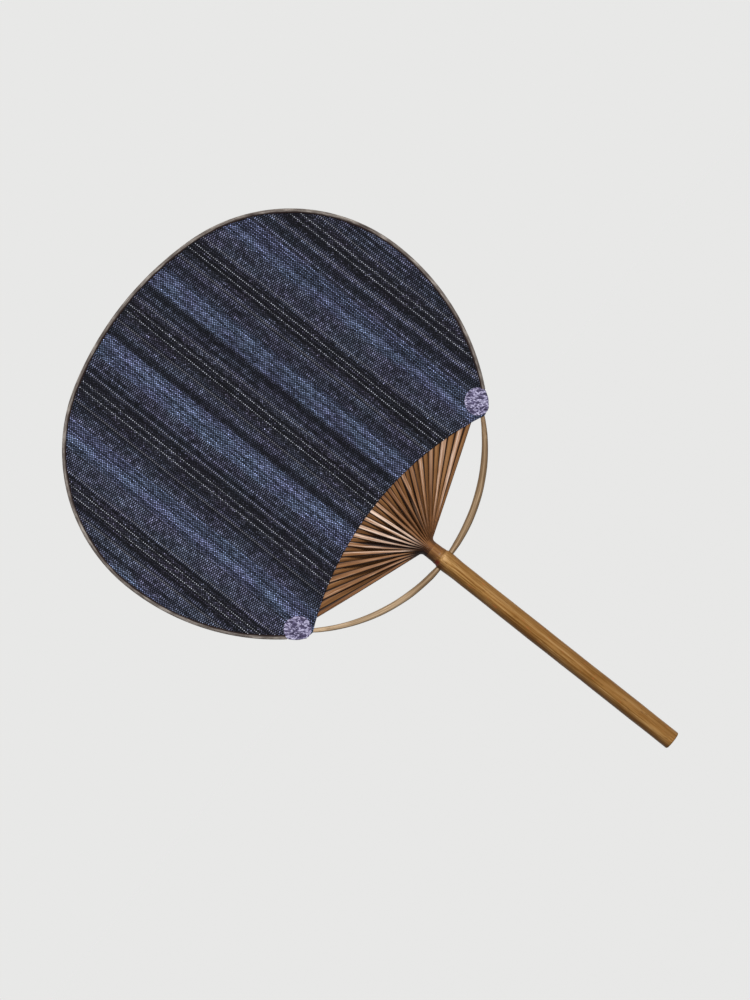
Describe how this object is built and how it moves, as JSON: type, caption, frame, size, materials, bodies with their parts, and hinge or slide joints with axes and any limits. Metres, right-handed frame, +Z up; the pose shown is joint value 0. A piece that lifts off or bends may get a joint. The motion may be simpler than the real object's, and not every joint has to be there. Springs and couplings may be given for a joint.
{
  "type": "round uchiwa fan",
  "caption": "Round hand fan: a bamboo handle split into thin ribs, spread by a bow and held by woven thread, with striped cloth on front and back, an edging tape and ear patches.",
  "frame": {"origin": "on the handle axis, 70 mm above the butt end, in the middle of the part that a hand holds", "axes": "+Z up the handle to the top of the disc, front face towards -Y, +X to the right seen from the front"},
  "size_m": [0.21, 0.01, 0.3385],
  "materials": {
    "cane": "polished smoked bamboo with dark streaks",
    "plug_wood": "sanded end grain",
    "bow_bamboo": "shaved bamboo, satin",
    "front_rib_bamboo": "bamboo skin, satin",
    "back_rib_bamboo": "split bamboo, matte",
    "cotton_thread": "twisted cotton",
    "front_cotton": "yarn-dyed striped cotton, matte",
    "back_cotton": "yarn-dyed striped cotton, matte",
    "edging_paper": "thin pasted paper tape, matte",
    "ear_paper": "mottled pasted paper, matte"
  },
  "bodies": {
    "root": {"handle": "cane", "handle_plug": "plug_wood", "bow": "bow_bamboo", "front_ribs": "front_rib_bamboo", "back_ribs": "back_rib_bamboo", "weaving_thread": "cotton_thread", "front_cloth": "front_cotton", "back_cloth": "back_cotton", "edging_tape": "edging_paper", "left_ear_patch": "ear_paper", "right_ear_patch": "ear_paper"}
  },
  "joints": []
}
